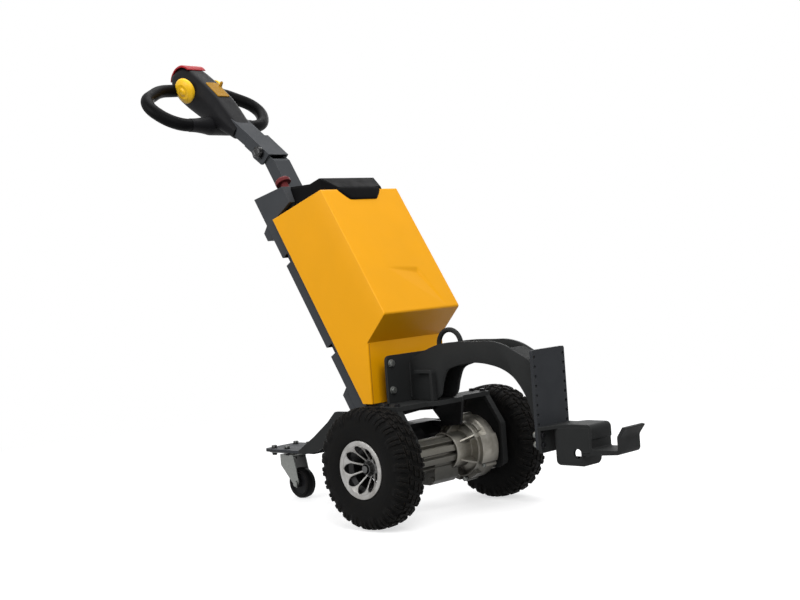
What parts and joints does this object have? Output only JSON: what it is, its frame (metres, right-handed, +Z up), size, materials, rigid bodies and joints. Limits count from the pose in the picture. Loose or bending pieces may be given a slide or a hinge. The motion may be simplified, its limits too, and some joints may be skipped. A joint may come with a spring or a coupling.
{
  "type": "walk-behind tow tug",
  "caption": "Walk-behind electric tow tug with driven wheels, a rear castor, a leaning battery cover, a tilting loop-handle control arm and a front tow hook.",
  "frame": {"origin": "on the ground, under the middle of the box round the whole tug", "axes": "+X forward to the hook, +Y to the left of someone who faces that way, +Z up"},
  "size_m": [1.6212, 0.567, 1.3199],
  "materials": {
    "yellow_paint": "satin",
    "grey_paint": "satin",
    "charcoal_paint": "satin",
    "black_paint": "satin",
    "black_plastic": "matte",
    "red_plastic": "gloss",
    "yellow_plastic": "satin",
    "battery_case": "matte",
    "cast_aluminium": "satin",
    "zinc": "satin",
    "steel": "satin",
    "tyre": "matte",
    "black_rubber": "matte"
  },
  "bodies": {
    "chassis": {"axle_tube": "cast_aluminium", "battery": "battery_case", "bent_strap": "charcoal_paint", "bolt_plate": "charcoal_paint", "castor_plate": "grey_paint", "castor_top": "zinc", "cover": "yellow_paint", "deck_plate": "grey_paint", "drilled_plate": "grey_paint", "drive_motor": "black_paint", "gear_drum": "cast_aluminium", "hanger_left": "charcoal_paint", "hanger_right": "charcoal_paint", "hitch_box": "charcoal_paint", "hook": "charcoal_paint", "lifting_ring": "charcoal_paint", "mast": "grey_paint", "neck_left": "charcoal_paint", "neck_right": "charcoal_paint", "neck_web": "charcoal_paint", "rear_arm": "grey_paint", "spine_bracket_lower": "grey_paint", "spine_bracket_upper": "grey_paint", "spine_housing": "grey_paint", "stop_button": "red_plastic", "top_cap": "black_plastic"},
    "wheel_right": {"tyre_right": "tyre", "rim_right": "cast_aluminium", "drive_shaft_right": "steel"},
    "wheel_left": {"tyre_left": "tyre", "rim_left": "cast_aluminium", "drive_shaft_left": "steel"},
    "castor_yoke": {"castor_fork": "zinc", "castor_axle": "zinc"},
    "castor_wheel": {"castor_tyre": "black_rubber", "castor_hub": "black_plastic"},
    "control_arm": {"arm": "grey_paint", "clamp_bolt": "black_plastic", "loop_handle_right": "black_plastic", "loop_handle_left": "black_plastic", "control_head": "black_plastic", "head_panel": "yellow_plastic", "belly_switch": "red_plastic", "paddle_right": "yellow_plastic", "paddle_left": "yellow_plastic"}
  },
  "joints": [
    {"name": "wheel_right_spin", "type": "hinge", "parent": "chassis", "child": "wheel_right", "pos_m": [0.17619, -0.23825, 0.155], "axis": [0, 1, 0], "continuous": true},
    {"name": "wheel_left_spin", "type": "hinge", "parent": "chassis", "child": "wheel_left", "pos_m": [0.17619, 0.23825, 0.155], "axis": [0, 1, 0], "continuous": true},
    {"name": "castor_swivel", "type": "hinge", "parent": "chassis", "child": "castor_yoke", "pos_m": [-0.40581, 0, 0.12], "axis": [0, 0, 1], "continuous": true},
    {"name": "castor_roll", "type": "hinge", "parent": "castor_yoke", "child": "castor_wheel", "pos_m": [-0.36981, 0, 0.045], "axis": [0, 1, 0], "continuous": true},
    {"name": "arm_tilt", "type": "hinge", "parent": "chassis", "child": "control_arm", "pos_m": [-0.40101, 0, 1.01013], "axis": [0, 1, 0], "range_deg": [-30, 0]}
  ]
}
